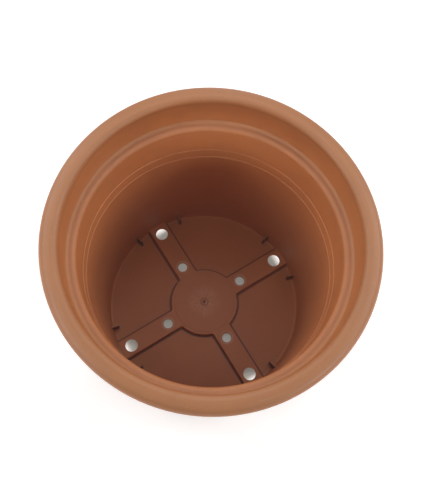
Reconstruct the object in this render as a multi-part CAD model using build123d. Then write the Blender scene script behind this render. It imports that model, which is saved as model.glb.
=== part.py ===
from build123d import *
import math
import os

# Terracotta-coloured plastic plant pot, 300 mm across the rim and 255 mm high.
# Units are millimetres. The origin is the centre of the foot plane, +Z is up along the pot's axis,
# and the four raised drain spokes of the floor lie along +X, +Y, -X and -Y.
# The pot is one injection moulding. Each node below is one moulded feature of it, and neighbours
# meet face to face, so that the nodes together are the whole wall with nothing doubled.

# --- overall size -------------------------------------------------------------------------------
rim_radius = 150.0
pot_height = 255.0
wall = 2.4

# --- rim: a hollow roll that turns over and hangs down outside the collar --------------------------
roll_height = 8.0
roll_outer_round = 7.5
roll_inner_round = 5.5
roll_inner_radius = 132.7
roll_crest_radius = 140.2
roll_crest_round = 24.0
roll_shoulder_drop = 1.6
skirt_drop = 17.0
skirt_draft_deg = 4.0
skirt_edge_round = 0.8
collar_foot_radius = 132.3
collar_foot_z = 220.0

# --- ledge: a flat tread from the collar in to the body, soft at both corners -------------------------
ledge_z = 216.5
ledge_fillet = 3.4
ledge_corner_round = 5.0
ledge_foot_z = 206.0

# --- body wall ----------------------------------------------------------------------------------
band_top_radius = 122.8
band_knee_z = 173.7
band_knee_radius = 122.4
band_foot_z = 159.6
band_foot_radius = 121.3
floor_edge_radius = 113.6
mark_height = 0.35
mark_half_width = 0.6
heel_top_z = 20.0
heel_outer_round = 3.0
heel_inner_round = 2.0
heel_lip_radius = 108.5

# --- floor: four pads that stand on the ground, and a raised cross with a drain channel below -------
pad_thickness = 2.8
cross_rise = 5.5
cross_plate = 2.5
cross_leg = 2.2
hub_radius = 40.2
spoke_width = 23.2
cross_corner_round = 2.5
spoke_root = 44.0
hub_disc_radius = 36.5
hub_disc_rise = 0.4
gate_ring_radius = 4.8
gate_ring_width = 0.8
gate_ring_depth = 0.35
gate_pit_radius = 1.7
gate_pit_depth = 0.9

# --- drain holes ----------------------------------------------------------------------------------
outer_hole_circle = 101.0
outer_hole_radius = 7.4
inner_hole_circle = 51.0
inner_hole_radius = 5.6
inner_sink_radius = 7.8
inner_sink_depth = 0.8

# --- stacking lugs: short upright ribs in the corner between floor and wall, a pair beside each spoke ---
lug_offset_deg = 14.9
lug_thickness = 1.8
lug_inner_radius = 105.8
lug_height = 14.0
lug_nose_round = 1.0

# --- worked out from the sizes above ----------------------------------------------------------------
widest_z = pot_height - roll_height
skirt_foot_z = pot_height - skirt_drop
cross_top_z = pad_thickness + cross_rise
channel_z = cross_top_z - cross_plate
wall_slope = (band_foot_radius - floor_edge_radius) / (band_foot_z - pad_thickness)
quarter_turns = (0, 90, 180, 270)


def wall_radius(z):
    """Inner radius of the tapered side wall at height z."""
    return floor_edge_radius + wall_slope * (z - pad_thickness)


def collar_radius(z):
    """Inner radius of the collar at height z."""
    top_z = pot_height - roll_inner_round
    share = (z - collar_foot_z) / (top_z - collar_foot_z)
    return collar_foot_radius + share * (roll_inner_radius - collar_foot_radius)


def band_radius(z):
    """Inner radius of the nearly upright band between the ledge and its lower moulding mark."""
    if z >= band_knee_z:
        share = (z - band_knee_z) / (ledge_foot_z - band_knee_z)
        return band_knee_radius + share * (band_top_radius - band_knee_radius)
    share = (z - band_foot_z) / (band_knee_z - band_foot_z)
    return band_foot_radius + share * (band_knee_radius - band_foot_radius)


def outline(*points):
    """Closed face on the XZ plane from straight runs through (radius, height) points."""
    line = Polyline(*[(r, 0, z) for r, z in points], close=True)
    return make_face(line)


def spun(face):
    """The ring that a face on the XZ plane sweeps in one turn about the pot's axis."""
    return revolve(face, Axis.Z, 360)


def rounded(face, radius, *places):
    """The face with its corners at the given (radius, height) places rounded off."""
    for r, z in places:
        target = Vector(r, 0, z)
        corner = min(face.vertices(), key=lambda v: (Vector(v.X, v.Y, v.Z) - target).length)
        face = fillet(corner, radius)
    return face


def rim_roll():
    """The rounded top of the rim: a hollow roll, open downwards, that slopes a little outwards."""
    return spun(roll_face(0)) - spun(roll_face(wall))


def roll_face(inset):
    """The roll's outline, filled, drawn in by inset along every side but the lowest."""
    slope = roll_shoulder_drop / (rim_radius - roll_crest_radius)
    top = pot_height - inset
    outer_r = rim_radius - inset
    inner_r = roll_inner_radius + inset
    crest = (roll_crest_radius - inset * math.tan(math.atan(slope) / 2), top)
    shoulder = (outer_r, top - (outer_r - crest[0]) * slope)
    inner_corner = (inner_r, top)
    face = outline(
        (outer_r, widest_z),
        shoulder,
        crest,
        inner_corner,
        (inner_r, pot_height - roll_inner_round),
        (collar_radius(widest_z) + inset, widest_z),
    )
    face = rounded(face, roll_outer_round - inset, shoulder)
    face = rounded(face, roll_crest_round - inset, crest)
    return rounded(face, roll_inner_round - inset - 0.001, inner_corner)


def rim_skirt():
    """The part of the roll that hangs down outside, tapering in a little so that it leaves its mould."""
    foot_r = rim_radius - (widest_z - skirt_foot_z) * math.tan(math.radians(skirt_draft_deg))
    face = outline(
        (rim_radius, widest_z),
        (foot_r, skirt_foot_z),
        (foot_r - wall, skirt_foot_z),
        (rim_radius - wall, widest_z),
    )
    edges = ((foot_r, skirt_foot_z), (foot_r - wall, skirt_foot_z))
    return spun(rounded(face, skirt_edge_round, *edges))


def rim_collar():
    """The upright band inside the rim, between the roll and the ledge."""
    top_r = collar_radius(widest_z)
    face = outline(
        (top_r, widest_z),
        (top_r + wall, widest_z),
        (collar_foot_radius + wall, collar_foot_z),
        (collar_foot_radius, collar_foot_z),
    )
    return spun(face)


def rim_ledge():
    """The level ledge that leads from the collar in to the body."""
    body_r = band_top_radius
    upper_corner = (collar_foot_radius, ledge_z)
    ledge_edge = (body_r, ledge_z)
    lower_corner = (body_r + wall, ledge_z - wall)
    under_edge = (collar_foot_radius + wall, ledge_z - wall)
    face = outline(
        (collar_foot_radius, collar_foot_z),
        upper_corner,
        ledge_edge,
        (body_r, ledge_foot_z),
        (body_r + wall, ledge_foot_z),
        lower_corner,
        under_edge,
        (collar_foot_radius + wall, collar_foot_z),
    )
    face = rounded(face, ledge_fillet, upper_corner, under_edge)
    face = rounded(face, ledge_corner_round, ledge_edge)
    face = rounded(face, ledge_corner_round - wall, lower_corner)
    return spun(face)


def moulding_mark(z, radius):
    """A fine raised line round the inside of the wall, as half of a flat diamond."""
    face = outline(
        (radius + 1.0, z - mark_half_width),
        (radius, z - mark_half_width),
        (radius - mark_height, z),
        (radius, z + mark_half_width),
        (radius + 1.0, z + mark_half_width),
    )
    return spun(face)


def wall_band():
    """The nearly upright band under the ledge, with a fine raised line at its knee and its foot."""
    foot_z = band_foot_z - 2 * mark_half_width
    foot_r = wall_radius(foot_z)
    face = outline(
        (band_top_radius, ledge_foot_z),
        (band_knee_radius, band_knee_z),
        (band_foot_radius, band_foot_z),
        (foot_r, foot_z),
        (foot_r + wall, foot_z),
        (band_foot_radius + wall, band_foot_z),
        (band_knee_radius + wall, band_knee_z),
        (band_top_radius + wall, ledge_foot_z),
    )
    upper_mark = moulding_mark(band_knee_z, band_knee_radius)
    lower_mark = moulding_mark(band_foot_z, band_foot_radius)
    return spun(face) + upper_mark + lower_mark


def side_wall():
    """The long tapered wall of the body."""
    top_z = band_foot_z - 2 * mark_half_width
    top_r = wall_radius(top_z)
    foot_r = wall_radius(heel_top_z)
    face = outline(
        (top_r, top_z),
        (top_r + wall, top_z),
        (foot_r + wall, heel_top_z),
        (foot_r, heel_top_z),
    )
    return spun(face)


def cross_outline(inset, reach):
    """Plan of the raised cross: the hub disc and four spokes, drawn in by inset on every side."""
    arm = Rectangle(2 * reach, spoke_width - 2 * inset)
    plan = Circle(hub_radius - inset) + arm + Rot(0, 0, 90) * arm
    corners = [v for v in plan.vertices() if math.hypot(v.X, v.Y) < hub_radius + 1]
    return fillet(corners, cross_corner_round + inset)


def inside_of_wall():
    """The room inside the tapered wall, up to just above the floor."""
    top_z = heel_top_z
    face = outline(
        (0, 0),
        (wall_radius(0), 0),
        (wall_radius(top_z), top_z),
        (0, top_z),
    )
    return spun(face)


def drain_channels():
    """The hollow under the cross, which lets water run out under the wall."""
    plan = cross_outline(cross_leg, rim_radius)
    return extrude(plan, channel_z)


def raised_cross():
    """The whole raised cross with its channel, from the gate mark out to the wall."""
    block = extrude(cross_outline(0, rim_radius), cross_top_z) & inside_of_wall()
    return block - drain_channels()


def base_heel():
    """The rounded corner between side wall and floor, open at the four drain channels."""
    lip_r = heel_lip_radius
    corner_r = wall_radius(0) + wall
    inner_corner = (wall_radius(pad_thickness), pad_thickness)
    face = outline(
        (lip_r, 0),
        (corner_r, 0),
        (wall_radius(heel_top_z) + wall, heel_top_z),
        (wall_radius(heel_top_z), heel_top_z),
        inner_corner,
        (lip_r, pad_thickness),
    )
    face = rounded(face, heel_outer_round, (corner_r, 0))
    face = rounded(face, heel_inner_round, inner_corner)
    cross_room = extrude(cross_outline(0, rim_radius), cross_top_z) & inside_of_wall()
    return spun(face) - cross_room - drain_channels()


def floor_pads():
    """The four low parts of the floor, which stand on the ground, in order round the pot."""
    plan = Circle(heel_lip_radius) - cross_outline(0, rim_radius)
    pads = extrude(plan, pad_thickness).solids()
    return sorted(pads, key=lambda pad: math.atan2(pad.center().Y, pad.center().X) % (2 * math.pi))


def floor_hub():
    """The raised centre of the floor, with the gate mark that the moulding leaves."""
    room = Box(2 * spoke_root, 2 * spoke_root, 2 * cross_top_z)
    hub = raised_cross() & room
    disc = Pos(0, 0, cross_top_z) * extrude(Circle(hub_disc_radius), hub_disc_rise)
    disc_top = cross_top_z + hub_disc_rise
    ring_plan = Circle(gate_ring_radius) - Circle(gate_ring_radius - gate_ring_width)
    ring = Pos(0, 0, disc_top - gate_ring_depth) * extrude(ring_plan, gate_ring_depth)
    pit = Pos(0, 0, disc_top - gate_pit_depth) * extrude(Circle(gate_pit_radius), gate_pit_depth)
    return hub + disc - ring - pit


def drain_spoke():
    """One raised spoke along +X, with its two drain holes, the inner one countersunk."""
    length = rim_radius
    room = Pos(spoke_root + length / 2, 0, 0) * Box(length, spoke_width, 3 * cross_top_z)
    spoke = raised_cross() & room
    outer_hole = Pos(outer_hole_circle, 0, 0) * Cylinder(outer_hole_radius, 3 * cross_top_z)
    inner_hole = Pos(inner_hole_circle, 0, 0) * Cylinder(inner_hole_radius, 3 * cross_top_z)
    sink_z = cross_top_z - inner_sink_depth / 2
    sink = Pos(inner_hole_circle, 0, sink_z) * Cone(inner_hole_radius, inner_sink_radius, inner_sink_depth)
    return spoke - outer_hole - inner_hole - sink


def stacking_lug(heel):
    """One thin upright rib along +X, which the foot of a nested pot comes to rest on."""
    top_z = pad_thickness + lug_height
    outer_r = wall_radius(top_z) + wall / 2
    face = outline(
        (lug_inner_radius, pad_thickness),
        (outer_r, pad_thickness),
        (outer_r, top_z),
        (lug_inner_radius, top_z),
    )
    face = rounded(face, lug_nose_round, (lug_inner_radius, top_z))
    plate = extrude(face, lug_thickness / 2, both=True)
    return plate - heel


def place(node, shape):
    """Write one node's STEP file."""
    shape.label = node
    export_step(shape, f"parts/{node}.step")


def build():
    """Write every feature of the moulding."""
    place("rim_roll", rim_roll())
    place("rim_skirt", rim_skirt())
    place("rim_collar", rim_collar())
    place("rim_ledge", rim_ledge())
    place("wall_band", wall_band())
    place("side_wall", side_wall())
    heel = base_heel()
    place("base_heel", heel)
    place("floor_hub", floor_hub())
    for number, pad in enumerate(floor_pads(), start=1):
        place(f"floor_pad_{number}", pad)
    spoke = drain_spoke()
    for number, angle in enumerate(quarter_turns, start=1):
        place(f"drain_spoke_{number}", Rot(0, 0, angle) * spoke)
    lug_angles = [turn + side * lug_offset_deg for turn in quarter_turns for side in (-1, 1)]
    plain_heel = Rot(0, 0, -lug_offset_deg) * heel
    lug = stacking_lug(plain_heel)
    for number, angle in enumerate(lug_angles, start=1):
        place(f"stacking_lug_{number}", Rot(0, 0, angle) * lug)


os.makedirs("parts", exist_ok=True)
build()
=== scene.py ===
import math

import bmesh
import bpy
from mathutils import Matrix, Quaternion, Vector


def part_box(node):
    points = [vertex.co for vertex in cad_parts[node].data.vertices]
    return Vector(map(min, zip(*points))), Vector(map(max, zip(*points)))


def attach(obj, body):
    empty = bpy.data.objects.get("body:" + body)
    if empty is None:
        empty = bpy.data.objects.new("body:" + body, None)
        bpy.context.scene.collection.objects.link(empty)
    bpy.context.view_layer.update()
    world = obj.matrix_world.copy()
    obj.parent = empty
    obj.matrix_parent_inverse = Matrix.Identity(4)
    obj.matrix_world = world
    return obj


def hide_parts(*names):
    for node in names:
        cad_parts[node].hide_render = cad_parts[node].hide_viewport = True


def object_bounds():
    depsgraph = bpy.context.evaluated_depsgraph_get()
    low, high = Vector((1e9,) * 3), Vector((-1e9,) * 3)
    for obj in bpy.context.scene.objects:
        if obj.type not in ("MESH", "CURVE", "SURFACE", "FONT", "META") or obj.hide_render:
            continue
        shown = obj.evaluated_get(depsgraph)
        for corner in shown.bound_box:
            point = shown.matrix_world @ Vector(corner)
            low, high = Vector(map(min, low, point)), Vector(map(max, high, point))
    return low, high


# The looks of a terracotta-coloured plastic plant pot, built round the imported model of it.
# Lengths are metres. The main radii and heights are read from the frame's nodes, and each piece
# stands for the node of its name. The finer sizes that the nodes don't tell are named below.

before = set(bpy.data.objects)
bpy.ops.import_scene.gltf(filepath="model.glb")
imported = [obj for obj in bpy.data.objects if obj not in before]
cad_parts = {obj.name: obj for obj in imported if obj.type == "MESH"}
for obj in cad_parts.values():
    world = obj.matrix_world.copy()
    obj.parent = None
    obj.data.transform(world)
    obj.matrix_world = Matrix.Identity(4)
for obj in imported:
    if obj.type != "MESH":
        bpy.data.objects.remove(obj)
cad_low, cad_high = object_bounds()

MM = 0.001
TURN = 2 * math.pi
RING_STEPS = 288
ARC_STEPS = 8
FINE_ARC_STEPS = 4
HOLE_STEPS = 64
GATE_STEPS = 96
PIT_STEPS = 48
DISC_STEPS = 144
PAD_RIM_STEPS = 48
SPOKE_STEPS = 12
FILLET_STEPS = 16
QUARTERS = (0, 90, 180, 270)

# --- finer sizes of the moulding ------------------------------------------------------------------
ROLL_OUTER_ROUND = 7.5 * MM
ROLL_INNER_ROUND = 5.5 * MM
ROLL_CREST_RADIUS = 140.2 * MM
ROLL_CREST_ROUND = 24 * MM
ROLL_SHOULDER_DROP = 1.6 * MM
SKIRT_EDGE_ROUND = 0.8 * MM
LEDGE_Z = 216.5 * MM
LEDGE_FILLET = 3.4 * MM
LEDGE_CORNER_ROUND = 5 * MM
BAND_KNEE_Z = 173.7 * MM
BAND_KNEE_R = 122.4 * MM
BAND_FOOT_Z = 159.6 * MM
BAND_FOOT_R = 121.3 * MM
MARK_HEIGHT = 0.4 * MM
MARK_HALF_WIDTH = 0.6 * MM
HEEL_OUTER_ROUND = 3 * MM
HEEL_INNER_ROUND = 2 * MM
CROSS_LEG = 2.2 * MM
CROSS_PLATE = 2.5 * MM
CROSS_CORNER_ROUND = 2.5 * MM
CROSS_EDGE_ROUND = 0.5 * MM
CROSS_DRAFT = 0.4 * MM
CROSS_EDGE_START_DEG = 172
SPOKE_END_ROUND = 1.2 * MM
HUB_RADIUS = 40.2 * MM
HUB_DISC_RADIUS = 36.5 * MM
GATE_RING_RADIUS = 4.8 * MM
GATE_RING_WIDTH = 0.8 * MM
GATE_RING_DEPTH = 0.35 * MM
GATE_PIT_RADIUS = 1.7 * MM
GATE_PIT_DEPTH = 0.9 * MM
OUTER_HOLE_CIRCLE = 101 * MM
OUTER_HOLE_RADIUS = 7.4 * MM
INNER_HOLE_CIRCLE = 51 * MM
INNER_HOLE_RADIUS = 5.6 * MM
INNER_SINK_RADIUS = 7.8 * MM
INNER_SINK_DEPTH = 0.8 * MM
HOLE_EDGE_ROUND = 0.3 * MM
LUG_OFFSET_DEG = 14.9
LUG_THICKNESS = 1.8 * MM
LUG_INNER_RADIUS = 105.8 * MM
LUG_NOSE_ROUND = 1 * MM
LUG_EDGE_ROUND = 0.25 * MM
EMBED = 0.8 * MM
PAD_TUCK = 0.3 * MM


# --- measuring the frame --------------------------------------------------------------------------
def heights(node):
    """Lowest and highest z of a node."""
    low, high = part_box(node)
    return low.z, high.z


def end_radii(node, top):
    """Inner and outer radius of a ring node at its top or bottom plane."""
    z = heights(node)[1 if top else 0]
    points = [v.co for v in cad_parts[node].data.vertices if abs(v.co.z - z) < 0.01 * MM]
    radii = [math.hypot(p.x, p.y) for p in points]
    return min(radii), max(radii)


PAD_Z = heights("floor_pad_1")[1]
CROSS_TOP = heights("drain_spoke_1")[1]
CHANNEL_Z = CROSS_TOP - CROSS_PLATE
HALF_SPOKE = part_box("drain_spoke_1")[1].y
SPOKE_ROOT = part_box("drain_spoke_1")[0].x
RIM_FOOT = heights("rim_roll")[0]
LUG_TOP = heights("stacking_lug_1")[1]
HEEL_TOP = heights("base_heel")[1]
HEEL_TOP_IN, HEEL_TOP_OUT = end_radii("base_heel", top=True)
WALL_TOP_IN = end_radii("side_wall", top=True)[0]
WALL_SLOPE = (WALL_TOP_IN - HEEL_TOP_IN) / (heights("side_wall")[1] - HEEL_TOP)


def wall_radius(z):
    """Inner radius of the tapered side wall at height z."""
    return HEEL_TOP_IN + WALL_SLOPE * (z - HEEL_TOP)


# --- outlines -------------------------------------------------------------------------------------
def arc(centre, radius, start_deg, end_deg, steps=ARC_STEPS):
    """Points of an arc, both ends included."""
    points = []
    for i in range(steps + 1):
        a = math.radians(start_deg + (end_deg - start_deg) * i / steps)
        points.append((centre[0] + radius * math.cos(a), centre[1] + radius * math.sin(a)))
    return points


def corner(before, point, after, radius, steps=ARC_STEPS):
    """Points that round off one corner of an outline, tangent to both of its runs."""
    p = Vector(point)
    u = (Vector(before) - p).normalized()
    v = (Vector(after) - p).normalized()
    half = u.angle(v) / 2
    centre = p + (u + v).normalized() * (radius / math.sin(half))
    first = p + u * (radius / math.tan(half)) - centre
    last = p + v * (radius / math.tan(half)) - centre
    turn = -first.angle_signed(last)
    points = []
    for i in range(steps + 1):
        spun = Matrix.Rotation(turn * i / steps, 2) @ first
        points.append((centre.x + spun.x, centre.y + spun.y))
    return points


def rounded_outline(*corners):
    """Closed outline from (x, y, rounding) corners."""
    points = []
    for i, (x, y, radius) in enumerate(corners):
        before = corners[i - 1][:2]
        after = corners[(i + 1) % len(corners)][:2]
        points += corner(before, (x, y), after, radius) if radius else [(x, y)]
    return points


# --- mesh helpers ---------------------------------------------------------------------------------
def bridge(bm, lower, upper, closed=True):
    """Quads between two rows of vertices."""
    count = len(lower)
    for i in range(count if closed else count - 1):
        j = (i + 1) % count
        bm.faces.new((lower[i], lower[j], upper[j], upper[i]))


def row(bm, points):
    """One vertex at each point."""
    return [bm.verts.new(p) for p in points]


def lathed(bm, outline, steps=RING_STEPS):
    """Add the ring that a closed (radius, height) outline sweeps in one turn."""
    rings = []
    for i in range(steps):
        c, s = math.cos(TURN * i / steps), math.sin(TURN * i / steps)
        rings.append(row(bm, [(r * c, r * s, z) for r, z in outline]))
    for i in range(steps):
        bridge(bm, rings[i], rings[(i + 1) % steps])


def plug(bm, outline, steps, centre=(0, 0)):
    """Add the round solid inside an open (radius, height) outline that ends in flat caps."""
    angles = [TURN * i / steps for i in range(steps)]
    loops = []
    for r, z in outline:
        points = [(centre[0] + r * math.cos(a), centre[1] + r * math.sin(a), z) for a in angles]
        loops.append(row(bm, points))
    for lower, upper in zip(loops, loops[1:]):
        bridge(bm, lower, upper)
    bm.faces.new(loops[0])
    bm.faces.new(loops[-1])


def box_solid(bm, low, high):
    """Add a plain box from its two corners."""
    middle = (Vector(low) + Vector(high)) / 2
    size = Vector(high) - Vector(low)
    matrix = Matrix.Translation(middle) @ Matrix.Diagonal((*size, 1))
    bmesh.ops.create_cube(bm, size=1, matrix=matrix)


def to_object(name, bm):
    """Turn a bmesh into a linked object with its faces turned outwards."""
    bmesh.ops.remove_doubles(bm, verts=bm.verts, dist=1e-7)
    bmesh.ops.recalc_face_normals(bm, faces=bm.faces)
    mesh = bpy.data.meshes.new(name)
    bm.to_mesh(mesh)
    bm.free()
    piece = bpy.data.objects.new(name, mesh)
    bpy.context.scene.collection.objects.link(piece)
    return piece


def apply_modifiers(piece):
    """Bake the piece's modifiers into its mesh."""
    graph = bpy.context.evaluated_depsgraph_get()
    baked = bpy.data.meshes.new_from_object(piece.evaluated_get(graph))
    piece.modifiers.clear()
    piece.data = baked


def combine(piece, other, operation):
    """Cut the other object's solid out of the piece, or unite the two, and drop the other."""
    modifier = piece.modifiers.new("combine", "BOOLEAN")
    modifier.operation = operation
    modifier.solver = "EXACT"
    modifier.object = other
    apply_modifiers(piece)
    bpy.data.objects.remove(other)


def cut(piece, cutter):
    combine(piece, cutter, "DIFFERENCE")


def smooth(piece, sharp_deg=35):
    """Shade rounded edges smoothly while the flat faces beside them stay flat."""
    mesh = piece.data
    mesh.polygons.foreach_set("use_smooth", [True] * len(mesh.polygons))
    mesh.set_sharp_from_angle(angle=math.radians(sharp_deg))
    weights = piece.modifiers.new("weights", "WEIGHTED_NORMAL")
    weights.keep_sharp = True
    weights.weight = 100
    apply_modifiers(piece)


def place(piece):
    """Let the piece stand for its CAD node, in the record's one material."""
    smooth(piece)
    piece.data.materials.clear()
    piece.data.materials.append(PLASTIC)
    node = piece.name.removesuffix("_skin")
    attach(piece, "root")
    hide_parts(node)


def ring(node, outline):
    """A turned piece for a node, from its closed (radius, height) outline."""
    bm = bmesh.new()
    lathed(bm, outline)
    return to_object(node + "_skin", bm)


# --- the rings of the pot -------------------------------------------------------------------------
def roll_corners(outer, inner, foot, top, inset):
    """Corners of the roll's outline, drawn in by inset along every side but the lowest."""
    slope = ROLL_SHOULDER_DROP / (outer - ROLL_CREST_RADIUS)
    crest = ROLL_CREST_RADIUS - inset * math.tan(math.atan(slope) / 2)
    shoulder = top - inset - (outer - inset - crest) * slope
    return [
        (outer - inset, foot, 0),
        (outer - inset, shoulder, ROLL_OUTER_ROUND - inset),
        (crest, top - inset, ROLL_CREST_ROUND - inset),
        (inner + inset, top - inset, ROLL_INNER_ROUND - inset),
        (inner + inset, foot, 0),
    ]


def rim_roll():
    """The rounded top of the rim, which slopes a little outwards and is hollow underneath."""
    foot, top = heights("rim_roll")
    inner, outer = end_radii("rim_roll", top=False)
    thick = end_radii("rim_collar", top=True)[1] - end_radii("rim_collar", top=True)[0]
    outside = roll_corners(outer, inner, foot, top, 0)
    inside = roll_corners(outer, inner, foot, top, thick)
    return ring("rim_roll", rounded_outline(*outside, *reversed(inside)))


def rim_skirt():
    """The part of the roll that hangs down outside."""
    z0, z1 = heights("rim_skirt")
    inner, outer = end_radii("rim_skirt", top=True)
    middle = sum(end_radii("rim_skirt", top=False)) / 2
    half = (outer - inner) / 2
    outline = rounded_outline(
        (outer, z1, 0),
        (inner, z1, 0),
        (middle - half, z0, SKIRT_EDGE_ROUND),
        (middle + half, z0, SKIRT_EDGE_ROUND),
    )
    return ring("rim_skirt", outline)


def straight_ring(node):
    """A ring with plain conical faces."""
    z0, z1 = heights(node)
    top_in, top_out = end_radii(node, top=True)
    foot_in, foot_out = end_radii(node, top=False)
    return ring(node, [(top_in, z1), (foot_in, z0), (foot_out, z0), (top_out, z1)])


def rim_ledge():
    """The level ledge that leads from the collar in to the body."""
    z0, z1 = heights("rim_ledge")
    collar_in, collar_out = end_radii("rim_ledge", top=True)
    body_in, body_out = end_radii("rim_ledge", top=False)
    under = LEDGE_Z - (collar_out - collar_in)
    outline = rounded_outline(
        (collar_in, z1, 0),
        (collar_in, LEDGE_Z, LEDGE_FILLET),
        (body_in, LEDGE_Z, LEDGE_CORNER_ROUND),
        (body_in, z0, 0),
        (body_out, z0, 0),
        (body_out, under, LEDGE_CORNER_ROUND - (collar_out - collar_in)),
        (collar_out, under, LEDGE_FILLET),
        (collar_out, z1, 0),
    )
    return ring("rim_ledge", outline)


def mark(radius, z):
    """A fine raised line on the inside of the wall, as outline points going down."""
    flank_height = 0.7 * MARK_HEIGHT
    flank_width = 0.5 * MARK_HALF_WIDTH
    return [
        (radius, z + MARK_HALF_WIDTH),
        (radius - flank_height, z + flank_width),
        (radius - MARK_HEIGHT, z),
        (radius - flank_height, z - flank_width),
        (radius, z - MARK_HALF_WIDTH),
    ]


def wall_band():
    """The nearly upright band under the ledge, with its two fine lines."""
    z0, z1 = heights("wall_band")
    top_in, top_out = end_radii("wall_band", top=True)
    foot_in, foot_out = end_radii("wall_band", top=False)
    thick = top_out - top_in
    outline = [(top_in, z1)]
    outline += mark(BAND_KNEE_R, BAND_KNEE_Z)
    outline += mark(BAND_FOOT_R, BAND_FOOT_Z)
    outline += [(foot_in, z0), (foot_out, z0), (BAND_FOOT_R + thick, BAND_FOOT_Z)]
    outline += [(BAND_KNEE_R + thick, BAND_KNEE_Z), (top_out, z1)]
    return ring("wall_band", outline)


def pad_radius(number):
    """Outer radius of one of the floor's pads."""
    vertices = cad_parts[f"floor_pad_{number}"].data.vertices
    return max(math.hypot(v.co.x, v.co.y) for v in vertices)


def base_heel():
    """The corner between wall and floor, open at the four drain channels."""
    lip = pad_radius(1)
    thick = HEEL_TOP_OUT - HEEL_TOP_IN
    outline = rounded_outline(
        (HEEL_TOP_IN, HEEL_TOP, 0),
        (wall_radius(PAD_Z), PAD_Z, HEEL_INNER_ROUND),
        (lip, PAD_Z, 0),
        (lip, 0, 0),
        (wall_radius(0) + thick, 0, HEEL_OUTER_ROUND),
        (HEEL_TOP_OUT, HEEL_TOP, 0),
    )
    heel = ring("base_heel", outline)
    reach = 2 * HEEL_TOP_OUT
    half = HALF_SPOKE - CROSS_LEG
    for along_x in (True, False):
        bm = bmesh.new()
        corner_point = (reach, half) if along_x else (half, reach)
        low = (-corner_point[0], -corner_point[1], -reach)
        box_solid(bm, low, (*corner_point, CHANNEL_Z))
        cut(heel, to_object("cutter", bm))
    return heel


# --- the floor ------------------------------------------------------------------------------------
def cross_curve(inset, reach):
    """Edge of the raised cross between its +X and +Y spokes, drawn in by inset, out to reach."""
    centre_y = HALF_SPOKE + CROSS_CORNER_ROUND
    centre_x = math.sqrt((HUB_RADIUS + CROSS_CORNER_ROUND) ** 2 - centre_y**2)
    lean = math.degrees(math.atan2(centre_y, centre_x))
    half = HALF_SPOKE - inset
    round_r = CROSS_CORNER_ROUND + inset
    points = [(reach, half)]
    points += arc((centre_x, centre_y), round_r, -90, lean - 180)
    points += arc((0, 0), HUB_RADIUS - inset, lean, 90 - lean, 3 * ARC_STEPS)[1:-1]
    points += arc((centre_y, centre_x), round_r, 270 - lean, 180)
    points.append((half, reach))
    return points


def cross_section():
    """(inset, height) from the channel's ceiling round the leg to the top of the cross.

    The sides lean in a little above the pads, so that the floor leaves its mould.
    """
    edge, lean = CROSS_EDGE_ROUND, CROSS_DRAFT
    centre = (lean + edge, CROSS_TOP - edge)
    rounding = arc(centre, edge, CROSS_EDGE_START_DEG, 90, FINE_ARC_STEPS)
    return [(CROSS_LEG, CHANNEL_Z), (CROSS_LEG, 0), (0, 0), (-lean, PAD_Z)] + rounding


def turned(points, quarter):
    """Plan points turned about the pot's axis by a number of quarter turns."""
    c, s = math.cos(quarter * TURN / 4), math.sin(quarter * TURN / 4)
    return [(x * c - y * s, x * s + y * c) for x, y in points]


def drain_hole(hole_radius, sink_radius, sink_depth, circle, quarter):
    """A cutter for one drain hole, with its countersink and softened edge."""
    edge = HOLE_EDGE_ROUND
    outline = [(hole_radius, CHANNEL_Z - CROSS_PLATE)]
    if sink_depth:
        outline += [(hole_radius, CROSS_TOP - sink_depth), (sink_radius, CROSS_TOP)]
        outline.append((sink_radius, CROSS_TOP + CROSS_PLATE))
    else:
        outline += arc((hole_radius + edge, CROSS_TOP - edge), edge, 180, 90, FINE_ARC_STEPS)
        outline.append((hole_radius + edge, CROSS_TOP + CROSS_PLATE))
    bm = bmesh.new()
    plug(bm, outline, HOLE_STEPS, turned([(circle, 0)], quarter)[0])
    return to_object("cutter", bm)


def inner_hole(quarter):
    """A cutter for the countersunk hole at a spoke's root."""
    sink = (INNER_SINK_RADIUS, INNER_SINK_DEPTH)
    return drain_hole(INNER_HOLE_RADIUS, *sink, INNER_HOLE_CIRCLE, quarter)


def outer_hole(quarter):
    """A cutter for the plain hole near a spoke's end."""
    return drain_hole(OUTER_HOLE_RADIUS, 0, 0, OUTER_HOLE_CIRCLE, quarter)


def gate_cutter(disc_top):
    """A cutter for the ring and the pit that the moulding gate leaves."""
    bm = bmesh.new()
    above = disc_top + GATE_PIT_DEPTH
    soft = GATE_RING_DEPTH / 2
    ring_out = GATE_RING_RADIUS
    ring_in = GATE_RING_RADIUS - GATE_RING_WIDTH
    groove = [
        (ring_out + soft, above),
        (ring_out + soft, disc_top),
        (ring_out, disc_top - GATE_RING_DEPTH),
        (ring_in, disc_top - GATE_RING_DEPTH),
        (ring_in - soft, disc_top),
        (ring_in - soft, above),
    ]
    lathed(bm, groove, GATE_STEPS)
    pit_mouth = 1.15 * GATE_PIT_RADIUS
    pit = [
        (GATE_PIT_RADIUS / 2, disc_top - GATE_PIT_DEPTH),
        (GATE_PIT_RADIUS, disc_top - GATE_PIT_DEPTH / 2),
        (pit_mouth, disc_top),
        (pit_mouth, above),
    ]
    plug(bm, pit, PIT_STEPS)
    return to_object("cutter", bm)


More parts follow.
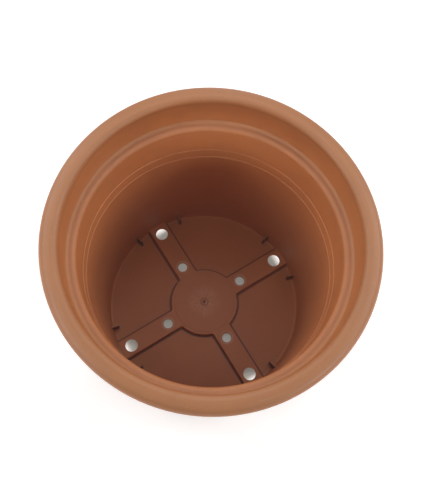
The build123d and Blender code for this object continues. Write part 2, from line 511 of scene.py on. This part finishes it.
def hub_body():
    """The hub's raised plate and legs, with the stubs that the spokes meet."""
    bm = bmesh.new()
    section = cross_section()
    grid = []
    for quarter in range(4):
        curves = [turned(cross_curve(inset, SPOKE_ROOT), quarter) for inset, z in section]
        levels = [row(bm, [(x, y, z) for x, y in c]) for c, (_, z) in zip(curves, section)]
        grid.append(levels)
        for lower, upper in zip(levels, levels[1:]):
            bridge(bm, lower, upper, closed=False)
    for level in (0, -1):
        bm.faces.new([v for levels in grid for v in levels[level]])
    for quarter in range(4):
        left = [curve[0] for curve in grid[quarter]]
        right = [curve[-1] for curve in grid[quarter - 1]]
        bm.faces.new(left + right[::-1])
    return to_object("floor_hub_skin", bm)


def hub_disc(rise):
    """The low disc on the hub, sunk a little into it, with a rounded edge."""
    bm = bmesh.new()
    outline = [(HUB_DISC_RADIUS, CROSS_TOP - rise)]
    outline += arc((HUB_DISC_RADIUS - rise, CROSS_TOP), rise, 0, 90, FINE_ARC_STEPS)
    plug(bm, outline, DISC_STEPS)
    return to_object("disc", bm)


def floor_hub():
    """The raised middle of the floor, with its low disc and gate mark."""
    hub = hub_body()
    for quarter in range(4):
        cut(hub, inner_hole(quarter))
    disc_top = heights("floor_hub")[1]
    combine(hub, hub_disc(disc_top - CROSS_TOP), "UNION")
    cut(hub, gate_cutter(disc_top))
    return hub


def drain_spoke(quarter):
    """One raised spoke, a little into the wall at its end, with its two drain holes."""
    bm = bmesh.new()
    side = [(HALF_SPOKE - inset, z) for inset, z in cross_section()]
    shares = [2 * i / SPOKE_STEPS - 1 for i in range(1, SPOKE_STEPS)]
    top_half = side[-1][0]
    across = [(-top_half * share, CROSS_TOP) for share in shares]
    roof_half = side[0][0]
    below = [(roof_half * share, CHANNEL_Z) for share in shares]
    loop = side + across + [(-y, z) for y, z in reversed(side)] + below
    inner, outer = [], []
    for y, z in loop:
        inner.append((SPOKE_ROOT, y, z))
        outer.append((math.sqrt((wall_radius(z) + EMBED) ** 2 - y**2), y, z))
    inner, outer = row(bm, inner), row(bm, outer)
    bridge(bm, inner, outer)
    bm.faces.new(inner)
    bm.faces.new(outer)
    turn = Matrix.Rotation(quarter * TURN / 4, 3, "Z")
    bmesh.ops.rotate(bm, verts=bm.verts, matrix=turn)
    spoke = to_object(f"drain_spoke_{quarter + 1}_skin", bm)
    cut(spoke, inner_hole(quarter))
    cut(spoke, outer_hole(quarter))
    return spoke


def spoke_end_fillet(quarter):
    """The soft corner where a spoke's top meets the wall, added to the spoke."""
    r = wall_radius(CROSS_TOP)
    sunk = EMBED / 2
    inner = r - SPOKE_END_ROUND
    above = CROSS_TOP + SPOKE_END_ROUND
    face = [(r + sunk, CROSS_TOP - sunk), (inner, CROSS_TOP - sunk)]
    face += arc((inner, above), SPOKE_END_ROUND, -90, 0)
    face.append((r + sunk, above))
    spread = math.asin((HALF_SPOKE - 2 * CROSS_DRAFT) / r)
    bm = bmesh.new()
    rows = []
    for i in range(FILLET_STEPS + 1):
        a = quarter * TURN / 4 - spread + 2 * spread * i / FILLET_STEPS
        rows.append(row(bm, [(p * math.cos(a), p * math.sin(a), h) for p, h in face]))
    for first, second in zip(rows, rows[1:]):
        bridge(bm, first, second)
    bm.faces.new(rows[0])
    bm.faces.new(rows[-1])
    return to_object("fillet", bm)


def floor_pad(number, quarter):
    """One low part of the floor, between two spokes, which the pot stands on."""
    lip = pad_radius(number)
    half = HALF_SPOKE - PAD_TUCK
    reach = math.sqrt(lip**2 - half**2)
    edge = cross_curve(PAD_TUCK, reach)
    lean = math.degrees(math.asin(half / lip))
    rim = arc((0, 0), lip, 90 - lean, lean, PAD_RIM_STEPS)[1:-1]
    plan = turned(edge + rim, quarter)
    bm = bmesh.new()
    lower = row(bm, [(x, y, 0) for x, y in plan])
    upper = row(bm, [(x, y, PAD_Z) for x, y in plan])
    bridge(bm, lower, upper)
    bm.faces.new(lower)
    bm.faces.new(upper)
    return to_object(f"floor_pad_{number}_skin", bm)


def stacking_lug(number, angle_deg):
    """One thin upright rib in the corner between floor and wall."""
    top = heights(f"stacking_lug_{number}")[1]
    sunk = PAD_Z - EMBED
    profile = rounded_outline(
        (LUG_INNER_RADIUS, sunk, 0),
        (wall_radius(sunk) + EMBED, sunk, 0),
        (wall_radius(top) + EMBED, top, 0),
        (LUG_INNER_RADIUS, top, LUG_NOSE_ROUND),
    )
    bm = bmesh.new()
    near = row(bm, [(r, -LUG_THICKNESS / 2, z) for r, z in profile])
    far = row(bm, [(r, LUG_THICKNESS / 2, z) for r, z in profile])
    bridge(bm, near, far)
    sides = [bm.faces.new(near), bm.faces.new(far)]
    rims = {edge for face in sides for edge in face.edges}
    bmesh.ops.bevel(
        bm, geom=list(rims), offset=LUG_EDGE_ROUND, segments=3, profile=0.5, affect="EDGES"
    )
    turn = Matrix.Rotation(math.radians(angle_deg), 3, "Z")
    bmesh.ops.rotate(bm, verts=bm.verts, matrix=turn)
    return to_object(f"stacking_lug_{number}_skin", bm)


def join_into(piece, other):
    """Add the other object's mesh to the piece."""
    bm = bmesh.new()
    bm.from_mesh(piece.data)
    bm.from_mesh(other.data)
    bm.to_mesh(piece.data)
    bm.free()
    bpy.data.objects.remove(other)


# --- colours of the plastic, of what lies on it, and of painted shade and sheen -------------------
TERRACOTTA = (0.545, 0.190, 0.056, 1)
# painted shade deep in the pot
LOW_POT_SHADE = (0.475, 0.174, 0.063, 1)
DEEPER = (0.430, 0.150, 0.050, 1)
PALER = (0.56, 0.236, 0.100, 1)
CHALK = (0.66, 0.42, 0.28, 1)
# painted sheen on faces that look up
UPWARD_SHEEN = (0.36, 0.26, 0.19, 1)
# painted shade in the ledge's fillet
LEDGE_FILLET_SHADE = (0.20, 0.17, 0.10, 1)
# painted shade low on the wall
DEEP_WALL_SHADE = (0.28, 0.22, 0.17, 1)
# painted shade over the rim
RIM_SHADE = (0.26, 0.112, 0.048, 1)
# painted shade in creases, recesses and beside the lugs
PAINTED_SHADE = (0.10, 0.032, 0.020, 1)
PLASTIC_IOR = 1.49

# --- where they lie, as radii, heights or distances from a feature --------------------------------
BRIGHTER_Z = (120 * MM, 215 * MM)
BRIGHTER_WANDER = 60 * MM
STREAK_FADE = (10 * MM, 24 * MM)
SPOKE_ROOT_BAND = (39 * MM, 47 * MM)
LINES_END = (123 * MM, 124 * MM)
FILLET_HIGHLIGHT_BAND = (-3.2 * MM, -1.2 * MM)
WALL_FOOT_Z = (11 * MM, 13 * MM)
DEEP_SHADE_FADE_Z = (60 * MM, 130 * MM)
LEDGE_BACK_BAND = (130.2 * MM, 133 * MM)
LEDGE_FRONT_Z = (211.8 * MM, 214.2 * MM)
LEDGE_FRONT_END = (126 * MM, 127 * MM)
CREASE_FADE = (1.6 * MM, 2.8 * MM)
LUG_SIDE_BAND = (105 * MM, 113 * MM)
LUG_SHADE_BAND = (105 * MM, 115.2 * MM)
LUG_SHADE_FADE = (1 * MM, 3.2 * MM)
LUG_SHADE_Z = (12 * MM, 17 * MM)


class Nodes:
    """Short names for the shader nodes that a material is built from."""

    def __init__(self, tree):
        self.tree = tree

    def put(self, socket, value):
        """Link another node's output to the socket, or set the socket's own value."""
        if isinstance(value, bpy.types.NodeSocket):
            self.tree.links.new(value, socket)
        else:
            socket.default_value = value

    def position(self):
        """The place on the object, in its own coordinates."""
        return self.tree.nodes.new("ShaderNodeTexCoord").outputs["Object"]

    def math(self, operation, a, b=0.0, clamp=False):
        node = self.tree.nodes.new("ShaderNodeMath")
        node.operation = operation
        node.use_clamp = clamp
        self.put(node.inputs[0], a)
        self.put(node.inputs[1], b)
        return node.outputs[0]

    def plus(self, a, b):
        return self.math("ADD", a, b)

    def minus(self, a, b):
        return self.math("SUBTRACT", a, b)

    def product(self, first, *others):
        """All the values multiplied together."""
        for other in others:
            first = self.math("MULTIPLY", first, other)
        return first

    def length(self, a, b):
        return self.math("SQRT", self.plus(self.product(a, a), self.product(b, b)))

    def normal_z(self):
        """How far the surface faces up, from -1 to 1."""
        node = self.tree.nodes.new("ShaderNodeSeparateXYZ")
        self.put(node.inputs[0], self.tree.nodes.new("ShaderNodeNewGeometry").outputs["Normal"])
        return node.outputs["Z"]

    def vector(self, x, y, z):
        node = self.tree.nodes.new("ShaderNodeCombineXYZ")
        for socket, value in zip(node.inputs, (x, y, z)):
            self.put(socket, value)
        return node.outputs[0]

    def noise(self, where, scale, detail=3.0, roughness=0.55):
        node = self.tree.nodes.new("ShaderNodeTexNoise")
        self.put(node.inputs["Vector"], where)
        node.inputs["Scale"].default_value = scale
        node.inputs["Detail"].default_value = detail
        node.inputs["Roughness"].default_value = roughness
        return node.outputs["Fac"]

    def span(self, value, low, high, start=0.0, end=1.0):
        """Carry low..high smoothly over to start..end."""
        node = self.tree.nodes.new("ShaderNodeMapRange")
        node.interpolation_type = "SMOOTHSTEP"
        self.put(node.inputs["Value"], value)
        limits = (("From Min", low), ("From Max", high), ("To Min", start), ("To Max", end))
        for name, number in limits:
            node.inputs[name].default_value = number
        return node.outputs["Result"]

    def fading(self, value, low, high):
        """1 up to low, falling smoothly to 0 at high."""
        return self.span(value, low, high, 1.0, 0.0)

    def between(self, value, low, high, soft):
        """1 where value is between low and high, 0 well outside."""
        rising = self.span(value, low - soft, low + soft)
        return self.product(rising, self.fading(value, high - soft, high + soft))

    def blend(self, factor, a, b):
        node = self.tree.nodes.new("ShaderNodeMix")
        node.data_type = "RGBA"
        self.put(node.inputs["Factor"], factor)
        self.put(node.inputs["A"], a)
        self.put(node.inputs["B"], b)
        return node.outputs["Result"]

    def bump(self, height, strength, distance, below=None):
        node = self.tree.nodes.new("ShaderNodeBump")
        self.put(node.inputs["Height"], height)
        node.inputs["Strength"].default_value = strength
        node.inputs["Distance"].default_value = distance
        if below is not None:
            self.put(node.inputs["Normal"], below)
        return node.outputs["Normal"]


class Surface(Nodes):
    """The pot's own measures of a place, the patterns on its plastic, and its colour so far."""

    def __init__(self, tree):
        super().__init__(tree)
        self.where = self.position()
        self.measure()
        self.find_places()
        self.make_patterns()
        self.colour = TERRACOTTA

    def measure(self):
        """Height, radius and bearing, and the distances along and across the nearest spoke."""
        split = self.tree.nodes.new("ShaderNodeSeparateXYZ")
        self.put(split.inputs[0], self.where)
        x, y, self.z = split.outputs
        self.radius = self.length(x, y)
        safe = self.math("MAXIMUM", self.radius, 0.1 * MM)
        self.east = self.math("DIVIDE", x, safe)
        self.north = self.math("DIVIDE", y, safe)
        x_size = self.math("ABSOLUTE", x)
        y_size = self.math("ABSOLUTE", y)
        self.across = self.math("MINIMUM", x_size, y_size)
        self.along = self.math("MAXIMUM", x_size, y_size)

    def find_places(self):
        """Masks of the parts of the pot that have a look of their own."""
        self.on_pads = self.fading(self.z, PAD_Z + 0.4 * MM, PAD_Z + 0.8 * MM)
        self.on_floor = self.fading(self.z, *WALL_FOOT_Z)
        self.on_cross = self.product(self.on_floor, self.span(self.z, 7 * MM, 8 * MM))
        self.on_ledge = self.between(self.z, LEDGE_Z - 5.5 * MM, LEDGE_Z + 4.5 * MM, 1 * MM)
        self.on_rim = self.span(self.z, RIM_FOOT - 1 * MM, RIM_FOOT + 3 * MM)
        from_centre = self.minus(self.along, INNER_HOLE_CIRCLE)
        self.from_hole = self.length(from_centre, self.across)

    def swept(self, bearing_scale, measure, scale, detail=3.0):
        """Noise drawn out over the bearing and one other measure."""
        east = self.product(self.east, bearing_scale)
        north = self.product(self.north, bearing_scale)
        return self.noise(self.vector(east, north, self.product(measure, scale)), 1.0, detail)

    def make_patterns(self):
        """The patterns that the moulding and use leave on the plastic."""
        self.mottle = self.noise(self.where, 26.0, 4.0, 0.6)
        self.cloud = self.noise(self.where, 9.0, 2.0)
        self.grain = self.noise(self.where, 1500.0, 2.0, 0.7)
        self.specks = self.span(self.noise(self.where, 620.0, 1.0, 0.4), 0.70, 0.76)
        self.draws = self.swept(42.0, self.z, 7.0)
        rays = self.swept(14.0, self.radius, 90.0)
        near_gate = self.product(self.on_cross, self.fading(self.radius, *STREAK_FADE))
        self.streaks = self.product(near_gate, self.span(rays, 0.42, 0.62, 0.25, 1.0))
        turns = self.swept(2.2, self.radius, 900.0, 4.0)
        self.scuffs = self.product(self.on_rim, self.span(turns, 0.62, 0.76))

    def paint(self, amount, mask, colour):
        """Cover the colour so far, by a share of the mask, with another one."""
        self.colour = self.blend(self.product(mask, amount), self.colour, colour)


def paint_plastic(s):
    """The plastic itself, with painted shade low in the pot: mottled, clouded, grained and drawn
    upwards.
    """
    # painted shade: the colour darkens below a wandering height deep in the pot, where less light
    # falls
    wandering_z = s.plus(s.z, s.product(s.cloud, BRIGHTER_WANDER))
    s.colour = s.blend(s.span(wandering_z, *BRIGHTER_Z), LOW_POT_SHADE, TERRACOTTA)
    s.paint(0.40, s.span(s.mottle, 0.30, 0.70), DEEPER)
    s.paint(0.15, s.span(s.cloud, 0.35, 0.65), PALER)
    s.paint(0.14, s.span(s.grain, 0.30, 0.72), PALER)
    s.paint(0.12, s.span(s.draws, 0.45, 0.75), PALER)
    s.paint(0.15, s.on_cross, PALER)


def paint_moulding_marks(s):
    """Streaks round the gate, pale spoke roots and fine lines, and painted highlights on the
    countersinks and along the floor's edge fillet.
    """
    s.paint(0.40, s.streaks, CHALK)
    roots = s.between(s.radius, *SPOKE_ROOT_BAND, 4 * MM)
    s.paint(0.20, s.product(s.on_cross, roots), PALER)
    # painted highlight: a paler ring on the countersink round each inner hole
    margin = 0.2 * MM
    sink_highlights = s.between(s.from_hole, INNER_HOLE_RADIUS + margin, INNER_SINK_RADIUS + margin, 0.5 * MM)
    s.paint(0.42, s.product(s.on_cross, sink_highlights), CHALK)
    lines = [
        s.between(s.z, line_z - MARK_HALF_WIDTH, line_z + MARK_HALF_WIDTH, 0.2 * MM)
        for line_z in (BAND_KNEE_Z, BAND_FOOT_Z)
    ]
    s.paint(0.28, s.product(s.plus(*lines), s.fading(s.radius, *LINES_END)), CHALK)
    # painted highlight: a pale line on the floor where it curves up into the wall
    low, high = FILLET_HIGHLIGHT_BAND
    foot = wall_radius(PAD_Z)
    fillet_highlight = s.between(s.radius, foot + low, foot + high, 0.4 * MM)
    s.paint(0.45, s.product(s.on_pads, fillet_highlight), PALER)


def paint_shade_sheen_and_wear(s):
    """Painted shade low on the wall, on the ledge and over the rim, a painted sheen on what faces up
    near the top, and scuffs and pale specks.
    """
    # painted shade: a darker tone low on the inside of the wall, fading out upwards
    low_wall = s.product(s.span(s.z, *WALL_FOOT_Z), s.fading(s.z, *DEEP_SHADE_FADE_Z))
    s.paint(0.08, low_wall, DEEP_WALL_SHADE)
    # painted sheen: a paler, greyer tone on the ledge and rim where they face up towards the lights
    facing_up = s.span(s.normal_z(), 0.45, 0.95)
    high_up = s.span(s.z, LEDGE_Z - 6.5 * MM, LEDGE_Z - 2.5 * MM)
    s.paint(0.22, s.product(facing_up, high_up), UPWARD_SHEEN)
    # painted shade in the hollow fillet where the ledge meets the collar
    ledge_back = s.between(s.radius, *LEDGE_BACK_BAND, 0.6 * MM)
    s.paint(0.20, s.product(s.on_ledge, ledge_back), LEDGE_FILLET_SHADE)
    # painted shade on the front of the ledge's inner rounding
    ledge_front = s.between(s.z, *LEDGE_FRONT_Z, 0.6 * MM)
    s.paint(0.75, s.product(ledge_front, s.fading(s.radius, *LEDGE_FRONT_END)), DEEPER)
    # painted shade: the whole rim is a little darker
    s.paint(0.30, s.on_rim, RIM_SHADE)
    s.paint(0.25, s.scuffs, CHALK)
    s.paint(0.20, s.specks, CHALK)


def paint_lug_shade(s):
    """Painted shade on the sides of the stacking lugs, and on the floor and wall beside them."""
    # painted shade on the lugs' side faces
    sides = s.between(s.z, PAD_Z + 0.6 * MM, LUG_TOP - 0.2 * MM, 0.2 * MM)
    reach = s.between(s.radius, *LUG_SIDE_BAND, 0.6 * MM)
    off_spoke = s.span(s.across, HALF_SPOKE + 1 * MM, HALF_SPOKE + 3 * MM)
    s.paint(0.88, s.product(sides, reach, off_spoke), PAINTED_SHADE)
    # painted shadow on the floor and wall beside each lug
    turn = math.radians(LUG_OFFSET_DEG)
    ahead = s.product(s.along, math.sin(turn))
    from_lug = s.math("ABSOLUTE", s.minus(s.product(s.across, math.cos(turn)), ahead))
    shade = s.product(s.fading(from_lug, *LUG_SHADE_FADE), s.fading(s.z, *LUG_SHADE_Z))
    s.paint(0.50, s.product(shade, s.between(s.radius, *LUG_SHADE_BAND, 0.8 * MM)), PAINTED_SHADE)


def paint_crease_shade(s):
    """Painted shade at the foot of the cross, in the gate's ring and pit, and in the inner holes."""
    # painted shade along the foot of the raised cross
    past_cross = s.math("MINIMUM", s.minus(s.across, HALF_SPOKE), s.minus(s.radius, HUB_RADIUS))
    s.paint(0.78, s.product(s.on_pads, s.fading(past_cross, *CREASE_FADE)), PAINTED_SHADE)
    paint_lug_shade(s)
    # painted shade in the gate's pit and ring
    pit = s.fading(s.radius, GATE_PIT_RADIUS, GATE_PIT_RADIUS + 0.8 * MM)
    ring_in = GATE_RING_RADIUS - GATE_RING_WIDTH - 0.1 * MM
    ring_mark = s.between(s.radius, ring_in, GATE_RING_RADIUS + 0.1 * MM, 0.3 * MM)
    s.paint(0.60, s.product(s.on_cross, s.plus(pit, ring_mark)), PAINTED_SHADE)
    # painted shade on the wall of each inner hole
    near = s.fading(s.from_hole, INNER_HOLE_RADIUS + 0.05 * MM, INNER_HOLE_RADIUS + 0.2 * MM)
    sink_foot = CROSS_TOP - INNER_SINK_DEPTH
    s.paint(0.60, s.product(s.on_floor, near, s.fading(s.z, sink_foot - 0.2 * MM, sink_foot)), PAINTED_SHADE)


def surface_finish(s, shader):
    """A satin gloss that varies with the plastic and its wear, and three layers of fine relief."""
    rough = s.plus(0.40, s.product(s.mottle, 0.08))
    rough = s.plus(rough, s.product(s.grain, 0.05))
    rough = s.plus(rough, s.product(s.on_ledge, 0.14))
    rough = s.math("ADD", rough, s.product(s.scuffs, 0.08), clamp=True)
    s.put(shader.inputs["Roughness"], rough)
    shader.inputs["IOR"].default_value = PLASTIC_IOR
    waves = s.bump(s.draws, 0.08, 0.4 * MM)
    flow = s.bump(s.streaks, 0.30, 0.15 * MM, waves)
    s.put(shader.inputs["Normal"], s.bump(s.grain, 0.16, 0.10 * MM, flow))


def plastic_material():
    """Satin moulded plastic with its moulding marks and light wear, and painted shade, sheen and
    highlights.
    """
    material = bpy.data.materials.new("terracotta_plastic")
    material.use_nodes = True
    shader = material.node_tree.nodes["Principled BSDF"]
    surface = Surface(material.node_tree)
    paint_plastic(surface)
    paint_moulding_marks(surface)
    paint_shade_sheen_and_wear(surface)
    paint_crease_shade(surface)
    surface.put(shader.inputs["Base Color"], surface.colour)
    surface_finish(surface, shader)
    return material


# --- stage ----------------------------------------------------------------------------------------
STAGE_HALF = 6
STAGE_COLOUR = (0.8, 0.8, 0.8, 1)
STAGE_ROUGHNESS = 0.8
WHITE = (1, 1, 1)
UNDER_TINT = (0.84, 1, 0.92)
GLOW_REACH = 300 * MM
# distance from the pot's axis, glow and tint: the floor's glow paints light and shadow, dim under
# the pot, bright under the outer drain holes, a painted shadow just past the foot, then moderate
FLOOR_PAINTED_GLOW = (
    (94 * MM, 0.12, UNDER_TINT),
    (102 * MM, 0.17, UNDER_TINT),
    (104.5 * MM, 0.34, UNDER_TINT),
    (108 * MM, 0.75, WHITE),
    (110 * MM, 0.85, WHITE),
    (112 * MM, 0.28, WHITE),
    (165 * MM, 0.48, WHITE),
    (GLOW_REACH, 0.50, WHITE),
)
DISTANT_RISE = (0.6, 2.4)
DISTANT_GAIN = 2


def stage_material():
    """Pale and matt, with a glow that changes with the distance from the pot: painted light under
    the drain holes and a painted shadow round the foot.
    """
    material = bpy.data.materials.new("floor")
    material.use_nodes = True
    shader = material.node_tree.nodes["Principled BSDF"]
    shader.inputs["Base Color"].default_value = STAGE_COLOUR
    shader.inputs["Roughness"].default_value = STAGE_ROUGHNESS
    n = Nodes(material.node_tree)
    measure = n.tree.nodes.new("ShaderNodeVectorMath")
    measure.operation = "LENGTH"
    n.put(measure.inputs[0], n.position())
    distance = measure.outputs["Value"]
    ramp = n.tree.nodes.new("ShaderNodeValToRGB")
    n.put(ramp.inputs[0], n.math("DIVIDE", distance, GLOW_REACH))
    stops = ramp.color_ramp.elements
    while len(stops) < len(FLOOR_PAINTED_GLOW):
        stops.new(1)
    for stop, (reach, glow, tint) in zip(stops, FLOOR_PAINTED_GLOW):
        stop.position = reach / GLOW_REACH
        stop.color = (*[glow * channel for channel in tint], 1)
    n.put(shader.inputs["Emission Color"], ramp.outputs["Color"])
    n.put(shader.inputs["Emission Strength"], n.span(distance, *DISTANT_RISE, 1, DISTANT_GAIN))
    return material


def stage():
    """A pale floor under the pot, with painted light and shadow in its glow."""
    half = STAGE_HALF
    corners = [(-half, -half, 0), (half, -half, 0), (half, half, 0), (-half, half, 0)]
    mesh = bpy.data.meshes.new("floor")
    mesh.from_pydata(corners, [], [(0, 1, 2, 3)])
    mesh.materials.append(stage_material())
    floor = bpy.data.objects.new("floor", mesh)
    bpy.context.scene.collection.objects.link(floor)


# --- light ----------------------------------------------------------------------------------------
# Bearings are measured from the camera's right hand, anticlockwise from above: 90 is the far side.
SIDE_AZIMUTH = -38.93
FAR = 90
SOFTBOX_DISTANCE = 1.5
# name, bearing, elevation, width in metres and power in watts
SOFTBOXES = (
    ("left_front", 210, 24, 0.45, 4.9),
    ("left", 195, 42, 0.45, 4.9),
    ("left_back", 150, 35, 0.60, 7.0),
    ("right_front", 330, 24, 0.45, 6.4),
    ("right", 0, 42, 0.45, 3.2),
    ("right_back", 30, 35, 0.60, 6.8),
    ("back", FAR, 60, 0.60, 3.7),
    ("low_back", FAR, 20, 0.60, 2.6),
)
# name, lamp's place, lit place, size (each in mm; places as distance to the far side, and height),
# power in watts and spread in degrees
INSIDE_LIGHTS = (
    ("far_wall", (-150.2, 537.5), (122.8, 190), (120, 120), 0.025, 70),
    ("far_floor", (-86.8, 747.4), (55, 0), (100, 100), 0.0055, 22),
    ("far_band", (-90, 285), (123.1, 197), (160, 20), 0.0052, 26),
)
VEIL = 0.0085


def toward(azimuth_deg, elevation_deg):
    """Unit vector from the pot's axis towards a direction."""
    a, e = math.radians(azimuth_deg), math.radians(elevation_deg)
    return Vector((math.cos(a) * math.cos(e), math.sin(a) * math.cos(e), math.sin(e)))


def area_light(name, location, target, size, power, spread_deg=180):
    """An area light that looks at a point and isn't seen itself."""
    light = bpy.data.lights.new(name, "AREA")
    light.shape = "RECTANGLE"
    light.size, light.size_y = size
    light.energy = power
    light.spread = math.radians(spread_deg)
    lamp = bpy.data.objects.new(name, light)
    bpy.context.scene.collection.objects.link(lamp)
    lamp.location = location
    lamp.rotation_mode = "QUATERNION"
    lamp.rotation_quaternion = (target - location).to_track_quat("-Z", "Y")
    lamp.visible_camera = False


def toward_far_side(place_mm):
    """Point in the upright plane through the axis and the far side."""
    reach, height = place_mm
    return toward(SIDE_AZIMUTH + FAR, 0) * reach * MM + Vector((0, 0, height * MM))


def lights():
    """Softboxes round the pot, and narrow lights for the far side inside it."""
    mouth = Vector((0, 0, cad_high.z))
    for name, bearing, elevation, width, power in SOFTBOXES:
        place = mouth + toward(bearing + SIDE_AZIMUTH, elevation) * SOFTBOX_DISTANCE
        area_light(name, place, mouth, (width, width), power)
    for name, start, aim, size_mm, power, spread in INSIDE_LIGHTS:
        size = [side * MM for side in size_mm]
        area_light(name, toward_far_side(start), toward_far_side(aim), size, power, spread)


def backdrop():
    """A white surround that is seen, but doesn't light the pot."""
    world = bpy.data.worlds.new("studio")
    bpy.context.scene.world = world
    world.use_nodes = True
    background = world.node_tree.nodes["Background"]
    background.inputs["Color"].default_value = (*WHITE, 1)
    background.inputs["Strength"].default_value = 1
    world.cycles_visibility.diffuse = False
    world.cycles_visibility.glossy = False


def tones():
    """Plain colour management, with the slight veil that a white ground casts over the darks."""
    settings = bpy.context.scene.view_settings
    settings.view_transform = "Standard"
    settings.use_curve_mapping = True
    settings.curve_mapping.black_level = (-VEIL, -VEIL, -VEIL)
    settings.curve_mapping.update()


# --- camera ---------------------------------------------------------------------------------------
CAMERA_AZIMUTH = -128.9215
CAMERA_ELEVATION = 71.436
CAMERA_DISTANCE = 0.58323
CAMERA_AIM = (-0.605 * MM, -0.086 * MM)
CAMERA_ROLL = 7.328
CAMERA_LENS = 50.136
CAMERA_SENSOR = 36


def camera():
    """The camera at the photographer's place above the mouth."""
    data = bpy.data.cameras.new("camera")
    data.sensor_width = CAMERA_SENSOR
    data.lens = CAMERA_LENS
    cam = bpy.data.objects.new("camera", data)
    bpy.context.scene.collection.objects.link(cam)
    mouth = Vector((0, 0, RIM_FOOT))
    cam.location = mouth + toward(CAMERA_AZIMUTH, CAMERA_ELEVATION) * CAMERA_DISTANCE
    aim = mouth + Vector((*CAMERA_AIM, 0))
    cam.rotation_mode = "QUATERNION"
    roll = Quaternion((0, 0, 1), math.radians(CAMERA_ROLL))
    cam.rotation_quaternion = (aim - cam.location).to_track_quat("-Z", "Y") @ roll
    bpy.context.scene.camera = cam


# --- the scene ------------------------------------------------------------------------------------
PLASTIC = plastic_material()
for part in (rim_roll(), rim_skirt(), straight_ring("rim_collar"), rim_ledge(), wall_band()):
    place(part)
for part in (straight_ring("side_wall"), base_heel(), floor_hub()):
    place(part)
for quarter in range(4):
    spoke = drain_spoke(quarter)
    join_into(spoke, spoke_end_fillet(quarter))
    place(spoke)
    place(floor_pad(quarter + 1, quarter))
lug_angles = [quarter + side * LUG_OFFSET_DEG for quarter in QUARTERS for side in (-1, 1)]
for number, angle in enumerate(lug_angles, start=1):
    place(stacking_lug(number, angle))
stage()
lights()
backdrop()
tones()
camera()
